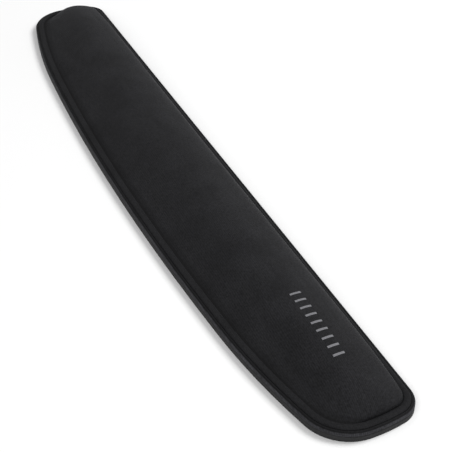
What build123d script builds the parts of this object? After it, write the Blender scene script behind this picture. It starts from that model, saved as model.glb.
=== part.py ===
"""Keyboard wrist rest: a gel and foam pad in a stretch fabric cover, on an anti-slip rubber sheet.

Frame: +X along the length, +Y from the user towards the keyboard, +Z up.
Origin: the middle of the footprint, on the underside. Millimetres.
"""
from build123d import *
from math import cos, pi, radians, sin
import os

os.makedirs("parts", exist_ok=True)

# ---------------------------------------------------------------- driving dimensions
LENGTH = 457.0              # overall length, 18 inches, as long as a full keyboard

# Footprint: a straight edge on the keyboard side, then tangent arcs round one end to the middle
# of the bowed front edge. Each is (radius, turn in degrees), and the other half is its mirror.
BACK_CORNER = (13.5, 78.9)
END_EDGE = (89.0, 12.3)
FRONT_CORNER = (25.2, 75.1)
FRONT_SIDE = (432.0, 9.6)   # the flat arc between the front corner and the middle arc

GRIP_THICKNESS = 3.0        # anti-slip rubber sheet
GRIP_EDGE_RADIUS = 0.5
GLUE_THICKNESS = 0.15       # each layer of adhesive film
GLUE_INSET = 1.6            # the film stops short of the edge, which leaves a fine seam

FABRIC = 0.7                # cover fabric with its bonded film
SHOULDER_Z = 5.5            # height of the cover's rounded side band
SHOULDER_RADIUS = 1.7
HEM_WIDTH = 10.0            # the cover turned in under the base board
BOARD_THICKNESS = 0.9       # stiff base board

BEAD_INSET = 1.8            # soft bead round the rim, between two pressed creases
BEAD_HEIGHT = 0.5
BEAD_RADIUS = 0.45
PAD_INSET = 6.0             # the inner crease, where the pad starts to rise
PAD_HEIGHT = 15.8           # the pad's rise above the side band
CROWN_LINE = 0.42           # place of the crown line across the pad, from the back crease
# The section across the pad: (share of the way from the crown line to the foot, share of the rise).
BACK_SECTION = ((0.5, 0.813), (0.75, 0.601), (0.9, 0.389))
FRONT_SECTION = ((0.25, 0.934), (0.5, 0.645), (0.75, 0.222))
# The fall of the crown towards each end: (distance from the end of the pad, share of the rise).
END_FALL = ((42.5, 0.91), (27.5, 0.816), (17.5, 0.703), (10.5, 0.575), (4.5, 0.395))
END_START = 62.0            # the end profile rises clear of the crown here
# The front falls square to the bow as well, and towards each front corner. Each is (arcs passed,
# angle from the cross direction, then the fall: distance from the foot of the pad, share of the rise).
BOW_FALL = (3, 11.0, ((22.5, 0.934), (15.0, 0.645), (7.5, 0.222)))
CORNER_FALL = (2, 40.0, ((26.0, 0.8), (18.0, 0.56), (10.0, 0.28), (4.0, 0.09)))
FALL_START = 36.0           # each of these profiles rises clear of the crown here

GEL_Z = 11.0                # the foam is cut flat here, and the gel lies on it
POUCH_FILM = 0.3            # film of the gel pouch
LAYER_GAP = 0.25            # air between the layers inside the cover

PRINT_CENTRE = (169.0, 8.0)  # a row of plain bars on the crown, at the right-hand end
PRINT_BARS = 9
PRINT_PITCH = 5.5
PRINT_BAR_LENGTH = 6.0
PRINT_BAR_WIDTH = 1.3
PRINT_THICKNESS = 0.1
PRINT_GAP = 0.05

# ---------------------------------------------------------------- derived dimensions
HALF_ARCS = (BACK_CORNER, END_EDGE, FRONT_CORNER, FRONT_SIDE)
CORNER_TURN = radians(BACK_CORNER[1])
STRAIGHT_HALF = (
    LENGTH / 2
    - BACK_CORNER[0] * sin(CORNER_TURN)
    - END_EDGE[0] * (1 - sin(CORNER_TURN))
)


def arc_run(count):
    """Half width and depth reached after this many of the side arcs, and the heading there."""
    x = STRAIGHT_HALF
    depth = 0.0
    heading = 0.0
    for radius, turn in HALF_ARCS[:count]:
        after = heading + radians(turn)
        x += radius * (sin(after) - sin(heading))
        depth += radius * (cos(heading) - cos(after))
        heading = after
    return x, depth, heading


ARCS_X, ARCS_DEPTH, ARCS_HEADING = arc_run(4)
MIDDLE_RADIUS = ARCS_X / sin(ARCS_HEADING)
MIDDLE_TURN = 180 - ARCS_HEADING * 180 / pi
DEPTH = ARCS_DEPTH + MIDDLE_RADIUS * (1 + cos(ARCS_HEADING))
BACK_Y = DEPTH / 2
HEIGHT = SHOULDER_Z + PAD_HEIGHT

COVER_Z = GRIP_THICKNESS + GLUE_THICKNESS
BOARD_Z = COVER_Z + FABRIC
BOARD_TOP = BOARD_Z + BOARD_THICKNESS
BOARD_INSET = FABRIC + 0.6  # the board's edge is clear of the cover's rounded band
CORE_Z = BOARD_TOP + GLUE_THICKNESS
CORE_INSET = FABRIC + LAYER_GAP
PAD_LENGTH = LENGTH - 2 * PAD_INSET
PAD_DEPTH = DEPTH - 2 * PAD_INSET
PAD_END = PAD_LENGTH / 2
SECTION_BACK = PAD_DEPTH / 2 + 1.0   # the two profiles of the pad start below and outside its foot
SECTION_END = PAD_END + 1.0
SECTION_FOOT = SHOULDER_Z - 2.0
FRONT_FOOT = SHOULDER_Z - 0.3
END_TOP = HEIGHT + 1.5      # the lengthwise profile only trims the two ends
CROWN_Y = PAD_DEPTH * (0.5 - CROWN_LINE)


def reach(passed, tilt):
    """Distance of the pad's foot from the origin, at this angle from the cross direction."""
    x, depth, heading = arc_run(passed)
    radius = HALF_ARCS[passed][0]
    centre_x = x - radius * sin(heading)
    centre_y = BACK_Y - depth - radius * cos(heading)
    return centre_x * sin(radians(tilt)) - centre_y * cos(radians(tilt)) + radius - PAD_INSET


def footprint(inset):
    """Closed outline of the footprint, moved in by the inset all round."""
    with BuildLine() as outline:
        edge = Line((0, BACK_Y - inset), (STRAIGHT_HALF, BACK_Y - inset))
        for radius, turn in HALF_ARCS:
            edge = JernArc(edge @ 1, edge % 1, radius - inset, -turn)
        JernArc(edge @ 1, edge % 1, MIDDLE_RADIUS - inset, -MIDDLE_TURN)
        mirror(about=Plane.YZ)
    return outline.edges()


def pad(inset):
    """Solid of the pad above the board, everywhere this far inside its outer surface."""
    end = SECTION_END - inset
    squeeze_back = (SECTION_BACK - inset - CROWN_Y) / (SECTION_BACK - CROWN_Y)
    squeeze_front = (SECTION_BACK - inset + CROWN_Y) / (SECTION_BACK + CROWN_Y)
    back_reach = (PAD_DEPTH / 2 - CROWN_Y) * squeeze_back
    front_reach = (PAD_DEPTH / 2 + CROWN_Y) * squeeze_front
    back_points = [
        (CROWN_Y + back_reach * way, SHOULDER_Z + PAD_HEIGHT * rise - inset) for way, rise in BACK_SECTION
    ]
    front_points = [
        (CROWN_Y - front_reach * way, SHOULDER_Z + PAD_HEIGHT * rise - inset) for way, rise in FRONT_SECTION
    ]
    end_points = [
        (PAD_END - away - inset, SHOULDER_Z + PAD_HEIGHT * rise - inset) for away, rise in END_FALL
    ]
    with BuildPart() as pillow:
        with BuildSketch(Plane.XY.offset(BOARD_TOP)):
            make_face(footprint(PAD_INSET + inset))
        extrude(amount=HEIGHT)
        with BuildSketch(Plane.YZ.offset(-LENGTH)):
            with BuildLine():
                section = Spline(
                    (SECTION_BACK - inset, SECTION_FOOT - inset),
                    *back_points[::-1],
                    (CROWN_Y, HEIGHT - inset),
                    *front_points,
                    (inset - SECTION_BACK, FRONT_FOOT - inset),
                )
                Polyline(
                    section @ 1,
                    (inset - SECTION_BACK, -HEIGHT),
                    (SECTION_BACK - inset, -HEIGHT),
                    section @ 0,
                )
            make_face()
        extrude(amount=2 * LENGTH, mode=Mode.INTERSECT)
        with BuildSketch(Plane.XZ.offset(-LENGTH)):
            with BuildLine():
                fall = Spline(
                    (end, SECTION_FOOT - inset),
                    *end_points[::-1],
                    (PAD_END - END_START, END_TOP - inset),
                )
                Line(fall @ 1, (0, END_TOP + 1 - inset))
                Line(fall @ 0, (end, -HEIGHT))
                Line((end, -HEIGHT), (0, -HEIGHT))
                mirror(about=Plane.YZ)
            make_face()
        extrude(amount=2 * LENGTH, mode=Mode.INTERSECT)
        for passed, tilt, fall_off in (BOW_FALL, CORNER_FALL):
            foot = reach(passed, tilt) - inset
            for side in (-1, 1):
                across = Vector(side * sin(radians(tilt)), -cos(radians(tilt)), 0)
                diagonal = Plane(origin=(0, 0, 0), x_dir=across, z_dir=across.cross(Vector(0, 0, 1)))
                with BuildSketch(diagonal.offset(-LENGTH)):
                    with BuildLine():
                        slope = Spline(
                            (foot + 1, FRONT_FOOT - inset),
                            *[
                                (foot - away, SHOULDER_Z + PAD_HEIGHT * rise - inset)
                                for away, rise in fall_off[::-1]
                            ],
                            (foot - FALL_START, END_TOP - inset),
                        )
                        Polyline(
                            slope @ 1,
                            (-2 * LENGTH, LENGTH),
                            (-2 * LENGTH, -HEIGHT),
                            (foot + 1, -HEIGHT),
                            slope @ 0,
                        )
                    make_face()
                extrude(amount=2 * LENGTH, mode=Mode.INTERSECT)
    return pillow.part


# ---------------------------------------------------------------- anti-slip rubber sheet
with BuildPart() as grip_sheet:
    with BuildSketch():
        make_face(footprint(0))
    extrude(amount=GRIP_THICKNESS)
    fillet(grip_sheet.faces().sort_by(Axis.Z)[-1].edges(), GRIP_EDGE_RADIUS)
grip_sheet.part.label = "grip_sheet"

# ---------------------------------------------------------------- adhesive film on the rubber
with BuildPart() as base_adhesive:
    with BuildSketch(Plane.XY.offset(GRIP_THICKNESS)):
        make_face(footprint(GLUE_INSET))
    extrude(amount=GLUE_THICKNESS)
base_adhesive.part.label = "base_adhesive"

# ---------------------------------------------------------------- stiff base board
with BuildPart() as base_board:
    with BuildSketch(Plane.XY.offset(BOARD_Z)):
        make_face(footprint(BOARD_INSET))
    extrude(amount=BOARD_THICKNESS)
base_board.part.label = "base_board"

# ---------------------------------------------------------------- fabric cover
# Side band, rim bead and pad in one skin, hollow for the board and the core, with a hem below.
with BuildPart() as fabric_cover:
    with BuildSketch(Plane.XY.offset(COVER_Z)):
        make_face(footprint(0))
    extrude(amount=SHOULDER_Z - COVER_Z)
    fillet(fabric_cover.faces().sort_by(Axis.Z)[-1].edges(), SHOULDER_RADIUS)
    with BuildSketch(Plane.XY.offset(SHOULDER_Z)):
        make_face(footprint(BEAD_INSET))
    extrude(amount=BEAD_HEIGHT)
    fillet(fabric_cover.faces().sort_by(Axis.Z)[-1].edges(), BEAD_RADIUS)
    add(pad(0))
    with BuildSketch(Plane.XY.offset(BOARD_Z)):
        make_face(footprint(FABRIC))
    extrude(amount=BOARD_THICKNESS, mode=Mode.SUBTRACT)
    add(pad(FABRIC), mode=Mode.SUBTRACT)
    with BuildSketch(Plane.XY.offset(COVER_Z)):
        make_face(footprint(FABRIC + HEM_WIDTH))
    extrude(amount=FABRIC, mode=Mode.SUBTRACT)
fabric_cover.part.label = "fabric_cover"

# ---------------------------------------------------------------- adhesive film on the board
with BuildPart() as core_adhesive:
    with BuildSketch(Plane.XY.offset(BOARD_TOP)):
        make_face(footprint(PAD_INSET + 2 * CORE_INSET))
    extrude(amount=GLUE_THICKNESS)
core_adhesive.part.label = "core_adhesive"

# ---------------------------------------------------------------- foam core
with BuildPart() as foam_core:
    add(pad(CORE_INSET))
    split(bisect_by=Plane.XY.offset(CORE_Z), keep=Keep.TOP)
    split(bisect_by=Plane.XY.offset(GEL_Z), keep=Keep.BOTTOM)
foam_core.part.label = "foam_core"

# ---------------------------------------------------------------- gel
with BuildPart() as gel_filling:
    add(pad(CORE_INSET + POUCH_FILM))
    split(bisect_by=Plane.XY.offset(GEL_Z + POUCH_FILM), keep=Keep.TOP)
gel_filling.part.label = "gel_filling"

# ---------------------------------------------------------------- film pouch round the gel
with BuildPart() as gel_pouch:
    add(pad(CORE_INSET))
    split(bisect_by=Plane.XY.offset(GEL_Z), keep=Keep.TOP)
    add(gel_filling.part, mode=Mode.SUBTRACT)
gel_pouch.part.label = "gel_pouch"

# ---------------------------------------------------------------- transfer print on the crown
with BuildPart() as transfer_print:
    with BuildSketch(Plane((*PRINT_CENTRE, GEL_Z))):
        with GridLocations(PRINT_PITCH, 0, PRINT_BARS, 1):
            SlotOverall(PRINT_BAR_LENGTH, PRINT_BAR_WIDTH, rotation=90)
    extrude(amount=HEIGHT)
    add(pad(-PRINT_GAP - PRINT_THICKNESS), mode=Mode.INTERSECT)
    add(pad(-PRINT_GAP), mode=Mode.SUBTRACT)
transfer_print.part.label = "transfer_print"

# ---------------------------------------------------------------- write the pieces
for piece in (
    grip_sheet,
    base_adhesive,
    base_board,
    fabric_cover,
    core_adhesive,
    foam_core,
    gel_pouch,
    gel_filling,
    transfer_print,
):
    export_step(piece.part, f"parts/{piece.part.label}.step")
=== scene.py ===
import math

import bmesh
import bpy
import numpy as np
from bpy.props import FloatProperty, FloatVectorProperty, IntProperty, PointerProperty
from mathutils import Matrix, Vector, noise


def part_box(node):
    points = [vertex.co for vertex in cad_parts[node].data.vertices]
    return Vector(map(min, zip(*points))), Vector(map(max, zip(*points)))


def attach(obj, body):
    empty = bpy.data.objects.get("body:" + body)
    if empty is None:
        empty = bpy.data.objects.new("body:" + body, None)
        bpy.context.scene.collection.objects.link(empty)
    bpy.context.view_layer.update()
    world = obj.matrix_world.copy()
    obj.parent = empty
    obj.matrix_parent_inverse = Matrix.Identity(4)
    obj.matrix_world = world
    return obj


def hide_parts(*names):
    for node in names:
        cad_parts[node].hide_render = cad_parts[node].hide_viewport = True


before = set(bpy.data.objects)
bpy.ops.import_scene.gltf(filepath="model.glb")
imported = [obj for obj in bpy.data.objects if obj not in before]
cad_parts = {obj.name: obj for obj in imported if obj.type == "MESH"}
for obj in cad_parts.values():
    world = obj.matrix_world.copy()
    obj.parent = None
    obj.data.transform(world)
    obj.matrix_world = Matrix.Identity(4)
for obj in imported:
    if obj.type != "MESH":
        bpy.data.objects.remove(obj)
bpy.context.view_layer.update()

bl_info = {
    "name": "Wrist rest",
    "version": (1, 0, 0),
    "blender": (4, 5, 0),
    "location": "View3D > Sidebar > Wrist rest",
    "description": "Builds a fabric-covered gel wrist rest on an anti-slip rubber sheet",
    "category": "Object",
}

MM = 0.001


def box_mm(node):
    """Lowest and highest corner of a CAD node, in millimetres."""
    low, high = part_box(node)
    return [a / MM for a in low], [a / MM for a in high]


COVER_LOW, COVER_HIGH = box_mm("fabric_cover")
PRINT_LOW, PRINT_HIGH = box_mm("transfer_print")

MESH_SHORTFALL = 0.04  # the mesh of an arc falls this much short of the arc
LENGTH = COVER_HIGH[0] - COVER_LOW[0] + MESH_SHORTFALL
BACK_Y = COVER_HIGH[1]
COVER_Z = COVER_LOW[2]
CROWN_Z = COVER_HIGH[2]

# Footprint, as in the CAD: tangent arcs (radius in mm, turn in degrees) from the straight back
# edge round one end to the middle of the bowed front edge.
SIDE_ARCS = ((13.5, 78.9), (89.0, 12.3), (25.2, 75.1), (432.0, 9.6))


def linear(hex_colour):
    """Linear RGBA of an sRGB hex colour such as "2b2b2d"."""
    values = [int(hex_colour[i : i + 2], 16) / 255 for i in (0, 2, 4)]
    rgb = [v / 12.92 if v <= 0.04045 else ((v + 0.055) / 1.055) ** 2.4 for v in values]
    return (*rgb, 1.0)


# ------------------------------------------------------------------ sizes and colours
class WristRestSizes(bpy.types.PropertyGroup):
    """Sizes of the cover, in millimetres; its footprint and height come from the frame."""

    shoulder_z: FloatProperty(
        name="Shoulder height", description="Height of the side band's rounded shoulder", default=5.5
    )
    shoulder_inset: FloatProperty(
        name="Outer crease", description="Distance of the outer crease from the edge", default=1.8
    )
    bead_height: FloatProperty(
        name="Bead height", description="Rise of the soft bead between the two creases", default=0.7
    )
    unevenness: FloatProperty(
        name="Unevenness", description="Soft unevenness of the stuffed pad", default=0.4
    )
    back_bulge: FloatProperty(
        name="Back bulge",
        description="How far the stuffed back of the pad swells out over its crease",
        default=1.7,
    )
    pad_inset: FloatProperty(
        name="Inner crease", description="Distance of the inner crease from the edge", default=6.0
    )
    crease_depth: FloatProperty(
        name="Crease depth", description="Depth of the two pressed creases", default=0.45
    )
    crown_line: FloatProperty(
        name="Crown line", description="Place of the crown across the pad, from its back",
        default=0.42, subtype="FACTOR",
    )
    rows: IntProperty(name="Rows", description="Mesh rows across each side of the crown", default=26)
    swell: FloatProperty(
        name="Swell",
        description="Most that the stuffed cover may swell or sink as it settles",
        default=0.7,
    )
    pressure: FloatProperty(
        name="Pressure", description="Pressure of the filling on the cover", default=4.0
    )
    cloth_frames: IntProperty(
        name="Settling frames", description="Frames of cloth simulation", default=20
    )
    core_gap: FloatProperty(
        name="Core gap",
        description="Cover, with the air below it, between the skin and the core",
        default=0.95,
    )
    gel_z: FloatProperty(
        name="Gel height", description="Height where the gel lies on the foam", default=11.0
    )
    pouch_film: FloatProperty(
        name="Pouch film", description="Thickness of the film round the gel", default=0.3
    )


class WristRestColours(bpy.types.PropertyGroup):
    """Base colours of the finishes."""

    jersey: FloatVectorProperty(
        name="Jersey", description="Black stretch jersey of the cover",
        default=linear("1f1f21"), size=4, subtype="COLOR",
    )
    rubber: FloatVectorProperty(
        name="Rubber", description="Black anti-slip rubber",
        default=linear("202021"), size=4, subtype="COLOR",
    )
    ink: FloatVectorProperty(
        name="Print", description="Grey transfer print",
        default=linear("6f6f73"), size=4, subtype="COLOR",
    )


# ------------------------------------------------------------------ outline of the footprint
def outline_arcs():
    """(centre x, centre y, radius, first heading, last heading) of the arcs of the right half.

    A heading is clockwise from +X, so the outward normal there is (sin, cos) of it.
    """
    turn = math.radians(SIDE_ARCS[0][1])
    x = LENGTH / 2 - SIDE_ARCS[0][0] * math.sin(turn) - SIDE_ARCS[1][0] * (1 - math.sin(turn))
    y = BACK_Y
    heading = 0.0
    arcs = []
    for radius, degrees in SIDE_ARCS:
        centre_x = x - radius * math.sin(heading)
        centre_y = y - radius * math.cos(heading)
        after = heading + math.radians(degrees)
        arcs.append((centre_x, centre_y, radius, heading, after))
        x = centre_x + radius * math.sin(after)
        y = centre_y + radius * math.cos(after)
        heading = after
    radius = x / math.sin(heading)
    arcs.append((0.0, y - radius * math.cos(heading), radius, heading, math.pi))
    return arcs


ARCS = outline_arcs()


def station(x, inset, front):
    """Where the outline, moved in by the inset, is at x: its arc's centre and radius, and heading."""
    if not front and x <= ARCS[0][0]:
        return x, BACK_Y, 0.0, 0.0
    best = None
    for centre_x, centre_y, radius, first, last in ARCS:
        share = max(-1.0, min(1.0, (x - centre_x) / (radius - inset)))
        heading = math.asin(share)
        if front:
            heading = math.pi - heading
        miss = max(first - heading, heading - last, 0.0)
        if best is None or miss < best[0]:
            best = (miss, (centre_x, centre_y, radius, min(max(heading, first), last)))
    return best[1]


def place(spot, inset):
    """Point of the outline at a station, moved in by an inset."""
    centre_x, centre_y, radius, heading = spot
    return (
        centre_x + (radius - inset) * math.sin(heading),
        centre_y + (radius - inset) * math.cos(heading),
    )


# ------------------------------------------------------------------ shape of the pad
END_SQUARENESS = 8.3  # the higher, the later the crown starts to fall towards the two ends
BACK_FULLNESS = 1.56  # fullness of the rounded back slope
FRONT_S = 1.3  # how far down the front slope its S-bend lies
BULGE_REACH = 0.22  # share of the way across that the back bulge takes up
BULGE_LOWNESS = 0.45  # the lower, the nearer to its crease the bulge is fullest
BULGE_END_FALL = 6


def pad_rise(across, along, crown_line):
    """Height of the pad as a share of its crown, across from 0 at the back to 1, along from -1 to 1."""
    across = np.clip(across, 0, 1)
    back = np.clip(1 - across / crown_line, 0, 1)
    front = np.clip((across - crown_line) / (1 - crown_line), 0, 1)
    section = np.where(
        across < crown_line,
        np.sqrt(np.clip(1 - back**BACK_FULLNESS, 0, 1)),
        0.5 + 0.5 * np.cos(np.pi * front**FRONT_S),
    )
    ends = np.sqrt(np.clip(1 - np.abs(along) ** END_SQUARENESS, 0, 1))
    return section * ends


def columns(end_x):
    """Places along half the pad, from the tip inwards, closer together at the rounded end."""
    close_steps = 60
    first_step = 0.0136
    near = [end_x - first_step * k * k for k in range(1, close_steps)]
    step = 2 * first_step * close_steps
    count = math.ceil(near[-1] / step)
    return near + [near[-1] * (1 - k / count) for k in range(1, count + 1)]


def build_cover(sizes):
    """Mesh of the cover's outer skin, in millimetres: points, faces and the points free to swell."""
    inset = sizes.pad_inset
    end_x = LENGTH / 2 - inset
    half = columns(end_x)
    stations = [-x for x in half[:-1]] + half[::-1]
    back = [station(abs(x), inset, False) for x in stations]
    front = [station(abs(x), inset, True) for x in stations]
    tip = station(end_x, inset, False)

    # rim loop: along the back, round the right tip, along the front, round the left tip
    signs = [1 if x >= 0 else -1 for x in stations]
    loop = list(zip(back, signs)) + [(tip, 1)] + list(zip(front, signs))[::-1] + [(tip, -1)]

    crease = sizes.shoulder_z - sizes.crease_depth
    profile = rim_profile(sizes, crease)
    points = []
    for depth, z in profile:
        for spot, sign in loop:
            x, y = place(spot, depth)
            points.append((sign * x, y, z))
    ring = len(loop)
    faces = []
    for level in range(len(profile) - 1):
        for k in range(ring):
            a = level * ring + k
            b = level * ring + (k + 1) % ring
            faces.append((a, b, b + ring, a + ring))

    # pad: rows across between the back and front of the inner crease
    rim = (len(profile) - 1) * ring
    wide = len(stations)
    rows = [sizes.crown_line * (k / sizes.rows) ** 1.8 for k in range(1, sizes.rows + 1)]
    rows += [
        sizes.crown_line + (1 - sizes.crown_line) * k / sizes.rows for k in range(1, sizes.rows)
    ]
    rise = CROWN_Z - crease
    start = len(points)
    for across in rows:
        for k, x in enumerate(stations):
            y_back = place(back[k], inset)[1]
            y_front = place(front[k], inset)[1]
            share = float(pad_rise(across, x / end_x, sizes.crown_line))
            wave = noise.noise((x / 26, across * 2.3, 0.7))
            wave += 0.5 * noise.noise((x / 11, across * 4.1, 5.2))
            z = crease + rise * share + (sizes.unevenness * wave - sizes.unevenness * 0.4) * share**2
            low_back = min(across / BULGE_REACH, 1)
            push = sizes.back_bulge * math.sin(math.pi * low_back**BULGE_LOWNESS)
            push *= math.sqrt(1 - (abs(x) / end_x) ** BULGE_END_FALL)
            points.append((x, y_back + (y_front - y_back) * across + push, z))

    def row_point(row, k):
        if row < 0:
            return rim + k
        if row == len(rows):
            return rim + 2 * wide - k
        return start + row * wide + k

    right_tip = rim + wide
    left_tip = rim + 2 * wide + 1
    for row in range(-1, len(rows)):
        for k in range(wide - 1):
            here, beside = row_point(row, k), row_point(row, k + 1)
            next_here, next_beside = row_point(row + 1, k), row_point(row + 1, k + 1)
            faces.append((here, beside, next_beside, next_here))
        faces.append((row_point(row, wide - 1), right_tip, row_point(row + 1, wide - 1)))
        faces.append((row_point(row + 1, 0), left_tip, row_point(row, 0)))
    return np.array(points), faces, start


def rim_profile(sizes, crease):
    """(inset, height) of the cover's section from the hem under the board to the inner crease."""
    hem = [(10.7, COVER_Z), (6.0, COVER_Z), (2.0, COVER_Z), (0.45, COVER_Z), (0.12, COVER_Z + 0.1)]
    band_top = sizes.shoulder_z
    radius = sizes.shoulder_inset
    wall = [(0.0, COVER_Z + 0.35), (0.0, (COVER_Z + band_top - radius) / 2 + 0.1)]
    shoulder = []
    for k in range(9):
        turn = math.pi / 2 * k / 8 * 0.96
        shoulder.append((radius * (1 - math.cos(turn)), band_top - radius + radius * math.sin(turn)))
    outer_crease = [(radius + 0.06, crease)]
    middle = (radius + sizes.pad_inset) / 2
    width = (sizes.pad_inset - radius) / 2 - 0.12
    bead = []
    for k in range(15):
        turn = math.pi * (1 - k / 14)
        rise = sizes.bead_height + band_top - crease
        bead.append((middle + width * math.cos(turn), crease + rise * math.sin(turn) ** 0.75 + 0.04))
    return hem + wall + shoulder + outer_crease + bead + [(sizes.pad_inset, crease)]


def settle(cover, sizes):
    """Let the filling's pressure swell the pad as cloth, its rim pinned, by no more than the swell."""
    before = coordinates(cover)
    cloth = cover.modifiers.new("settle", "CLOTH")
    settings = cloth.settings
    settings.quality = 6
    settings.mass = 0.15
    settings.tension_stiffness = 40
    settings.compression_stiffness = 40
    settings.shear_stiffness = 20
    settings.bending_stiffness = 2
    settings.use_pressure = True
    settings.uniform_pressure_force = sizes.pressure
    settings.vertex_group_mass = "rim"
    settings.effector_weights.gravity = 0
    cloth.collision_settings.use_collision = False
    cloth.point_cache.frame_start = 1
    cloth.point_cache.frame_end = sizes.cloth_frames
    scene = bpy.context.scene
    for number in range(1, sizes.cloth_frames + 1):
        scene.frame_set(number)
    bpy.ops.object.modifier_apply(modifier=cloth.name)
    scene.frame_set(1)
    moved = coordinates(cover) - before
    reach = np.linalg.norm(moved, axis=1, keepdims=True)
    limit = sizes.swell * MM
    after = before + moved * (limit * np.tanh(reach / limit) / np.maximum(reach, 1e-9))
    cover.data.vertices.foreach_set("co", after.ravel())
    cover.data.update()


def coordinates(obj):
    """Coordinates of an object's vertices, as rows."""
    flat = np.empty(len(obj.data.vertices) * 3)
    obj.data.vertices.foreach_get("co", flat)
    return flat.reshape(-1, 3)


def filling_mesh(sizes, gap, low, high):
    """Solid below the pad's skin by the gap, between two heights, as a bmesh in metres."""
    inset = sizes.pad_inset + gap
    end_x = LENGTH / 2 - inset
    count_x, count_y = 120, 28
    rise = CROWN_Z - sizes.shoulder_z
    grid = []
    for i in range(count_x + 1):
        x = end_x * math.sin(math.pi / 2 * (2 * i / count_x - 1)) * 0.9999
        y_back = place(station(abs(x), inset, False), inset)[1]
        y_front = place(station(abs(x), inset, True), inset)[1]
        for j in range(count_y + 1):
            across = 0.5 - 0.5 * math.cos(math.pi * j / count_y)
            z = sizes.shoulder_z - gap + rise * float(pad_rise(across, x / end_x, sizes.crown_line))
            grid.append((x * MM, (y_back + (y_front - y_back) * across) * MM, z * MM))
    solid = bmesh.new()
    top = [solid.verts.new(p) for p in grid]
    bottom = [solid.verts.new((x, y, 0.0)) for x, y, _ in grid]
    wide = count_y + 1
    for i in range(count_x):
        for j in range(count_y):
            a = i * wide + j
            solid.faces.new([top[k] for k in (a, a + 1, a + wide + 1, a + wide)])
            solid.faces.new([bottom[k] for k in (a + wide, a + wide + 1, a + 1, a)])
    border = [j for j in range(wide)] + [i * wide + count_y for i in range(1, count_x + 1)]
    border += [count_x * wide + j for j in range(count_y - 1, -1, -1)]
    border += [i * wide for i in range(count_x - 1, 0, -1)]
    for a, b in zip(border, border[1:] + border[:1]):
        solid.faces.new((top[b], top[a], bottom[a], bottom[b]))
    for height, keep_above in ((low, True), (high, False)):
        everything = solid.verts[:] + solid.edges[:] + solid.faces[:]
        bmesh.ops.bisect_plane(
            solid, geom=everything, dist=1e-7, plane_co=(0, 0, height * MM), plane_no=(0, 0, 1),
            clear_inner=keep_above, clear_outer=not keep_above,
        )
        bmesh.ops.holes_fill(solid, edges=[e for e in solid.edges if e.is_boundary])
    bmesh.ops.remove_doubles(solid, verts=solid.verts[:], dist=1e-6)
    bmesh.ops.recalc_face_normals(solid, faces=solid.faces[:])
    return solid


def filling_object(name, solid):
    """Object made from a bmesh, which is freed."""
    mesh = bpy.data.meshes.new(name)
    solid.to_mesh(mesh)
    solid.free()
    obj = bpy.data.objects.new(name, mesh)
    bpy.context.collection.objects.link(obj)
    return obj


def new_object(name, points, faces):
    """Object made from points and faces, as the only selected one."""
    mesh = bpy.data.meshes.new(name)
    mesh.from_pydata([tuple(p) for p in points], [], faces)
    mesh.validate()
    obj = bpy.data.objects.new(name, mesh)
    bpy.context.collection.objects.link(obj)
    bpy.ops.object.select_all(action="DESELECT")
    obj.select_set(True)
    bpy.context.view_layer.objects.active = obj
    return obj


# ------------------------------------------------------------------ materials
WAVE_TEXTURE_FACTOR = 20  # a wave texture repeats every 2 pi / 20 units at a scale of 1


def node(tree, kind, links=(), **settings):
    """Add a node with its settings, and join its inputs to the sockets given in links."""
    made = tree.nodes.new(kind)
    for key, value in settings.items():
        if key.startswith("in_"):
            name = key[3:].replace("_", " ")
            made.inputs[int(name) if name.isdigit() else name].default_value = value
        else:
            setattr(made, key, value)
    for key, socket in dict(links).items():
        tree.links.new(socket, made.inputs[key])
    return made


def new_material(name, colour):
    """Empty material with a Principled shader: the material, its tree and the shader."""
    material = bpy.data.materials.new(name)
    material.use_nodes = True
    material.diffuse_color = colour
    tree = material.node_tree
    return material, tree, tree.nodes["Principled BSDF"]


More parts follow.
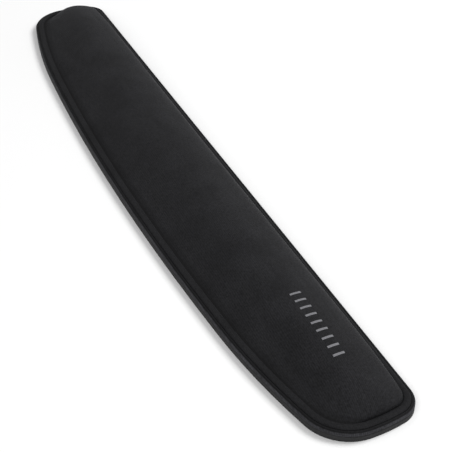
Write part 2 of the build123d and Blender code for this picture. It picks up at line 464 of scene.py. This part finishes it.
def jersey_material(colour):
    """Black polyester-elastane jersey: a matt, fine knit with a faint pale sheen at a grazing angle, and
    painted light and shade set by height.
    """
    material, tree, shader = new_material("Black stretch jersey", colour)
    shader.inputs["Roughness"].default_value = 0.82
    shader.inputs["Specular IOR Level"].default_value = 0.16
    shader.inputs["Sheen Weight"].default_value = 0.05
    shader.inputs["Sheen Roughness"].default_value = 0.3
    shader.inputs["Sheen Tint"].default_value = linear("b9bcc4")
    where = node(tree, "ShaderNodeTexCoord").outputs["Object"]
    # the knit's wales are taken to be 0.45 mm apart, and are drawn at 0.9 mm so that they show
    wales = node(
        tree, "ShaderNodeTexWave", {"Vector": where}, bands_direction="Y",
        in_Scale=2 * math.pi / (0.9 * MM) / WAVE_TEXTURE_FACTOR,
        in_Distortion=1.5, in_Detail=2.0, in_Detail_Scale=1.5,
    )
    # loops of yarn about 1 mm across, coarser than the real ones, and broad clouds of about 18 mm
    grain = node(
        tree, "ShaderNodeTexNoise", {"Vector": where}, in_Scale=950.0, in_Detail=3.0, in_Roughness=0.75
    )
    blotch = node(
        tree, "ShaderNodeTexNoise", {"Vector": where}, in_Scale=55.0, in_Detail=3.0, in_Roughness=0.55
    )
    mixed = node(
        tree, "ShaderNodeMix", {"A": wales.outputs["Fac"], "B": grain.outputs["Fac"]}, in_Factor=0.88
    )
    tone = node(
        tree, "ShaderNodeMapRange", {"Value": mixed.outputs["Result"]},
        in_From_Min=0.3, in_From_Max=0.7, in_To_Min=0.45, in_To_Max=1.6,
    )
    cloud = node(
        tree, "ShaderNodeMapRange", {"Value": blotch.outputs["Fac"]},
        in_From_Min=0.3, in_From_Max=0.7, in_To_Min=0.8, in_To_Max=1.2,
    )
    shade = node(
        tree, "ShaderNodeMath", {0: tone.outputs["Result"], 1: cloud.outputs["Result"]},
        operation="MULTIPLY",
    )
    # tone by height, painted light and shade: the side band is painted paler than the pad, as painted
    # light from the bright floor; the pressed creases are painted darkest, and the bead and the foot of
    # the pad darker than the crown, as painted shade
    height = node(tree, "ShaderNodeSeparateXYZ", {"Vector": where}).outputs["Z"]
    level = node(
        tree, "ShaderNodeMapRange", {"Value": height},
        in_From_Min=0.0030, in_From_Max=0.0070, in_To_Min=0.0, in_To_Max=1.0,
    )
    painted_light_ramp = node(tree, "ShaderNodeValToRGB", {"Fac": level.outputs["Result"]})
    # stops of the painted light and shade: pale side band, dark creases, darker bead and pad foot
    painted_light_stops = (
        (0.0, 0.9), (0.16, 1.2), (0.46, 1.15), (0.51, 0.17),
        (0.58, 0.17), (0.64, 0.3), (0.8, 0.34), (1.0, 0.45),
    )
    elements = painted_light_ramp.color_ramp.elements
    elements[0].position = painted_light_stops[0][0]
    elements[1].position = painted_light_stops[-1][0]
    for position, _ in painted_light_stops[1:-1]:
        elements.new(position)
    for element, (_, value) in zip(elements, painted_light_stops):
        element.color = (value, value, value, 1)
    # the ramp's painted light and shade lightens or darkens the knit's tone here
    with_painted_light = node(
        tree, "ShaderNodeMath", {0: shade.outputs[0], 1: painted_light_ramp.outputs["Color"]}, operation="MULTIPLY"
    )
    doubled = node(tree, "ShaderNodeMath", {0: with_painted_light.outputs[0]}, operation="MULTIPLY")
    doubled.inputs[1].default_value = 2.0
    tint = node(tree, "ShaderNodeVectorMath", {"Scale": doubled.outputs[0]}, operation="SCALE")
    tint.inputs[0].default_value = colour[:3]
    tree.links.new(tint.outputs[0], shader.inputs["Base Color"])
    bump = node(
        tree, "ShaderNodeBump", {"Height": mixed.outputs["Result"]},
        in_Strength=0.55, in_Distance=0.25 * MM,
    )
    tree.links.new(bump.outputs["Normal"], shader.inputs["Normal"])
    return material


def rubber_material(colour):
    """Foamed anti-slip rubber sheet with a cut edge: matt and finely pitted."""
    material, tree, shader = new_material("Black foamed rubber", colour)
    shader.inputs["Roughness"].default_value = 0.75
    shader.inputs["Specular IOR Level"].default_value = 0.4
    where = node(tree, "ShaderNodeTexCoord").outputs["Object"]
    pits = node(tree, "ShaderNodeTexVoronoi", {"Vector": where}, in_Scale=900.0)
    cloud = node(tree, "ShaderNodeTexNoise", {"Vector": where}, in_Scale=120.0, in_Detail=4.0)
    tone = node(
        tree, "ShaderNodeMapRange", {"Value": cloud.outputs["Fac"]},
        in_From_Min=0.3, in_From_Max=0.7, in_To_Min=0.8, in_To_Max=1.25,
    )
    tint = node(tree, "ShaderNodeVectorMath", {"Scale": tone.outputs["Result"]}, operation="SCALE")
    tint.inputs[0].default_value = colour[:3]
    tree.links.new(tint.outputs[0], shader.inputs["Base Color"])
    bump = node(
        tree, "ShaderNodeBump", {"Height": pits.outputs["Distance"]},
        in_Strength=0.5, in_Distance=0.2 * MM,
    )
    tree.links.new(bump.outputs["Normal"], shader.inputs["Normal"])
    return material


def ink_material(colour):
    """Heat-transfer print: a thin, flat layer of grey ink, finely mottled."""
    material, tree, shader = new_material("Grey transfer ink", colour)
    shader.inputs["Roughness"].default_value = 0.6
    where = node(tree, "ShaderNodeTexCoord").outputs["Object"]
    grain = node(tree, "ShaderNodeTexNoise", {"Vector": where}, in_Scale=1400.0, in_Detail=2.0)
    tone = node(
        tree, "ShaderNodeMapRange", {"Value": grain.outputs["Fac"]},
        in_From_Min=0.3, in_From_Max=0.7, in_To_Min=0.8, in_To_Max=1.15,
    )
    tint = node(tree, "ShaderNodeVectorMath", {"Scale": tone.outputs["Result"]}, operation="SCALE")
    tint.inputs[0].default_value = colour[:3]
    tree.links.new(tint.outputs[0], shader.inputs["Base Color"])
    return material


def plain_material(name, hex_colour, roughness, grain_mm, depth, transmission=0.0):
    """Finish of a piece inside the cover: a base colour mottled at the size of its grain."""
    colour = linear(hex_colour)
    material, tree, shader = new_material(name, colour)
    shader.inputs["Roughness"].default_value = roughness
    shader.inputs["Transmission Weight"].default_value = transmission
    where = node(tree, "ShaderNodeTexCoord").outputs["Object"]
    grain = node(
        tree, "ShaderNodeTexNoise", {"Vector": where}, in_Scale=1 / (grain_mm * MM), in_Detail=3.0
    )
    tone = node(
        tree, "ShaderNodeMapRange", {"Value": grain.outputs["Fac"]},
        in_From_Min=0.3, in_From_Max=0.7, in_To_Min=1 - depth, in_To_Max=1 + depth,
    )
    tint = node(tree, "ShaderNodeVectorMath", {"Scale": tone.outputs["Result"]}, operation="SCALE")
    tint.inputs[0].default_value = colour[:3]
    tree.links.new(tint.outputs[0], shader.inputs["Base Color"])
    return material


def paint(obj, material):
    """Give an object one material."""
    obj.data.materials.clear()
    obj.data.materials.append(material)


# ------------------------------------------------------------------ operators
BARS = 9
BAR_WIDTH = 1.3
BAR_START_ABOVE = 4.0  # the bars start this far above the crown and are let down onto it
INK_GAP = 0.05
INK_THICKNESS = 0.1


class WRISTREST_OT_cover(bpy.types.Operator):
    """Build the fabric cover: side band, pressed creases, rim bead and swollen pad"""

    bl_idname = "wristrest.cover"
    bl_label = "Fabric cover"

    def execute(self, context):
        sizes = context.scene.wrist_rest_sizes
        points, faces, free_from = build_cover(sizes)
        cover = new_object("fabric_cover_skin", points * MM, faces)
        rim = cover.vertex_groups.new(name="rim")
        rim.add(list(range(free_from)), 1.0, "REPLACE")
        bpy.ops.object.mode_set(mode="EDIT")
        bpy.ops.mesh.select_all(action="SELECT")
        bpy.ops.mesh.remove_doubles(threshold=0.002 * MM)
        bpy.ops.mesh.normals_make_consistent(inside=False)
        bpy.ops.object.mode_set(mode="OBJECT")
        settle(cover, sizes)
        bpy.ops.object.shade_smooth()
        paint(cover, jersey_material(context.scene.wrist_rest_colours.jersey))
        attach(cover, "root")
        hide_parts("fabric_cover")
        return {"FINISHED"}


class WRISTREST_OT_print(bpy.types.Operator):
    """Lay the row of plain printed bars on the crown"""

    bl_idname = "wristrest.print"
    bl_label = "Transfer print"

    def execute(self, context):
        low, high = PRINT_LOW, PRINT_HIGH
        pitch = (high[0] - low[0] - BAR_WIDTH) / (BARS - 1)
        cover = bpy.data.objects["fabric_cover_skin"]
        made = []
        for k in range(BARS):
            middle = (
                (low[0] + BAR_WIDTH / 2 + k * pitch) * MM,
                (low[1] + high[1]) / 2 * MM,
                (CROWN_Z + BAR_START_ABOVE) * MM,
            )
            bpy.ops.object.select_all(action="DESELECT")
            bpy.ops.mesh.primitive_grid_add(x_subdivisions=4, y_subdivisions=14, size=1, location=middle)
            bar = context.object
            bar.name = f"print_bar_{k + 1}"
            bar.scale = (BAR_WIDTH * MM, (high[1] - low[1]) * MM, 1)
            bpy.ops.object.transform_apply(location=True, rotation=True, scale=True)
            wrap = bar.modifiers.new("lie_on_cover", "SHRINKWRAP")
            wrap.target = cover
            wrap.wrap_method = "PROJECT"
            wrap.use_project_z = True
            wrap.use_negative_direction = True
            wrap.use_positive_direction = False
            wrap.offset = INK_GAP * MM
            bpy.ops.object.modifier_apply(modifier=wrap.name)
            thick = bar.modifiers.new("ink_layer", "SOLIDIFY")
            thick.thickness = INK_THICKNESS * MM
            thick.offset = 1
            bpy.ops.object.modifier_apply(modifier=thick.name)
            made.append(bar)
        bpy.ops.object.select_all(action="DESELECT")
        for bar in made:
            bar.select_set(True)
        context.view_layer.objects.active = made[0]
        bpy.ops.object.join()
        printed = context.object
        printed.name = "print_bars"
        paint(printed, ink_material(context.scene.wrist_rest_colours.ink))
        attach(printed, "root")
        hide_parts("transfer_print")
        return {"FINISHED"}


class WRISTREST_OT_filling(bpy.types.Operator):
    """Fill the cover: the foam core, and the gel in its pouch on top of it"""

    bl_idname = "wristrest.filling"
    bl_label = "Foam and gel"

    def execute(self, context):
        sizes = context.scene.wrist_rest_sizes
        low = box_mm("foam_core")[0][2]
        gap = sizes.core_gap
        film = sizes.pouch_film
        foam = filling_object("foam_block", filling_mesh(sizes, gap, low, sizes.gel_z))
        paint(foam, plain_material("Open-cell foam", "c9c4b6", 0.9, 0.9, 0.3))
        gel_low = sizes.gel_z + film
        gel = filling_object("gel_layer", filling_mesh(sizes, gap + film, gel_low, CROWN_Z))
        paint(gel, plain_material("Soft blue gel", "8fb4cc", 0.3, 14.0, 0.08, 0.5))
        skin = filling_mesh(sizes, gap, sizes.gel_z, CROWN_Z)
        hollow = filling_mesh(sizes, gap + film * 0.95, gel_low, CROWN_Z)
        bmesh.ops.reverse_faces(hollow, faces=hollow.faces[:])
        inner = bpy.data.meshes.new("pouch_inside")
        hollow.to_mesh(inner)
        hollow.free()
        skin.from_mesh(inner)
        bpy.data.meshes.remove(inner)
        pouch = filling_object("gel_pouch_film", skin)
        paint(pouch, plain_material("Clear pouch film", "d8dde0", 0.25, 6.0, 0.05, 0.6))
        for piece, slot_name, cad_node in (
            (foam, "core_foam", "foam_core"),
            (gel, "gel", "gel_filling"),
            (pouch, "pouch_film", "gel_pouch"),
        ):
            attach(piece, "root")
            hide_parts(cad_node)
        return {"FINISHED"}


class WRISTREST_OT_finishes(bpy.types.Operator):
    """Give the pieces that the CAD shapes their finishes"""

    bl_idname = "wristrest.finishes"
    bl_label = "Base and filling finishes"

    def execute(self, context):
        rubber = rubber_material(context.scene.wrist_rest_colours.rubber)
        glue = plain_material("Black adhesive film", "303032", 0.6, 0.8, 0.15)
        finishes = {
            "grip_sheet": rubber,
            "base_adhesive": glue,
            "core_adhesive": glue,
            "base_board": plain_material("Grey moulded board", "4a4a4d", 0.55, 1.2, 0.12),
        }
        for name, material in finishes.items():
            paint(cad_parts[name], material)
        return {"FINISHED"}


class WRISTREST_OT_stage(bpy.types.Operator):
    """Add the pale floor, the soft studio lights and the camera"""

    bl_idname = "wristrest.stage"
    bl_label = "Stage"

    def execute(self, context):
        bpy.ops.object.select_all(action="DESELECT")
        bpy.ops.mesh.primitive_plane_add(size=6.0, location=(0, 0, 0))
        floor = context.object
        floor.name = "studio_floor"
        material, tree, shader = new_material("White studio paper", linear("f4f4f4"))
        shader.inputs["Base Color"].default_value = linear("f4f4f4")
        shader.inputs["Roughness"].default_value = 0.9
        shader.inputs["Specular IOR Level"].default_value = 0.0
        paint(floor, material)

        world = bpy.data.worlds.new("White studio")
        world.use_nodes = True
        world.node_tree.nodes["Background"].inputs["Color"].default_value = (1, 1, 1, 1)
        world.node_tree.nodes["Background"].inputs["Strength"].default_value = 0.53
        context.scene.world = world

        lights = (
            ("softbox_back", (0.1, 1.0, 1.2), 0.7, 16.0),
            ("softbox_front", (0.9, -1.0, 1.1), 0.8, 7.5),
        )
        for name, location, size, power in lights:
            lamp = bpy.data.lights.new(name, "AREA")
            lamp.energy = power
            lamp.size = size
            softbox = bpy.data.objects.new(name, lamp)
            softbox.location = location
            softbox.rotation_euler = (-Vector(location)).to_track_quat("-Z", "Y").to_euler()
            context.collection.objects.link(softbox)

        azimuth, elevation = math.radians(65.26), math.radians(37.8)
        distance = 0.61087
        target = Vector((0.05874, BACK_Y * MM - 0.02405, 0.0))
        away = Vector((
            math.sin(azimuth) * math.cos(elevation),
            -math.cos(azimuth) * math.cos(elevation),
            math.sin(elevation),
        ))
        camera_data = bpy.data.cameras.new("camera")
        camera_data.lens = 85.908
        camera_data.sensor_width = 36.0
        camera = bpy.data.objects.new("camera", camera_data)
        camera.location = target + away * distance
        camera.rotation_euler = (-away).to_track_quat("-Z", "Y").to_euler()
        context.collection.objects.link(camera)
        context.scene.camera = camera
        context.scene.view_settings.view_transform = "Standard"
        return {"FINISHED"}


class WRISTREST_PT_panel(bpy.types.Panel):
    """Buttons that build the wrist rest, piece by piece"""

    bl_label = "Wrist rest"
    bl_idname = "WRISTREST_PT_panel"
    bl_space_type = "VIEW_3D"
    bl_region_type = "UI"
    bl_category = "Wrist rest"

    def draw(self, context):
        column = self.layout.column()
        for name in WristRestSizes.__annotations__:
            column.prop(context.scene.wrist_rest_sizes, name)
        for name in WristRestColours.__annotations__:
            column.prop(context.scene.wrist_rest_colours, name)
        for operator in OPERATORS:
            column.operator(operator.bl_idname)


OPERATORS = (
    WRISTREST_OT_cover,
    WRISTREST_OT_filling,
    WRISTREST_OT_print,
    WRISTREST_OT_finishes,
    WRISTREST_OT_stage,
)
CLASSES = (WristRestSizes, WristRestColours, *OPERATORS, WRISTREST_PT_panel)


def register():
    for cls in CLASSES:
        bpy.utils.register_class(cls)
    bpy.types.Scene.wrist_rest_sizes = PointerProperty(type=WristRestSizes)
    bpy.types.Scene.wrist_rest_colours = PointerProperty(type=WristRestColours)


def unregister():
    del bpy.types.Scene.wrist_rest_colours
    del bpy.types.Scene.wrist_rest_sizes
    for cls in reversed(CLASSES):
        bpy.utils.unregister_class(cls)


def main():
    register()
    bpy.ops.wristrest.cover()
    bpy.ops.wristrest.filling()
    bpy.ops.wristrest.print()
    bpy.ops.wristrest.finishes()
    bpy.ops.wristrest.stage()


if __name__ == "__main__":
    main()
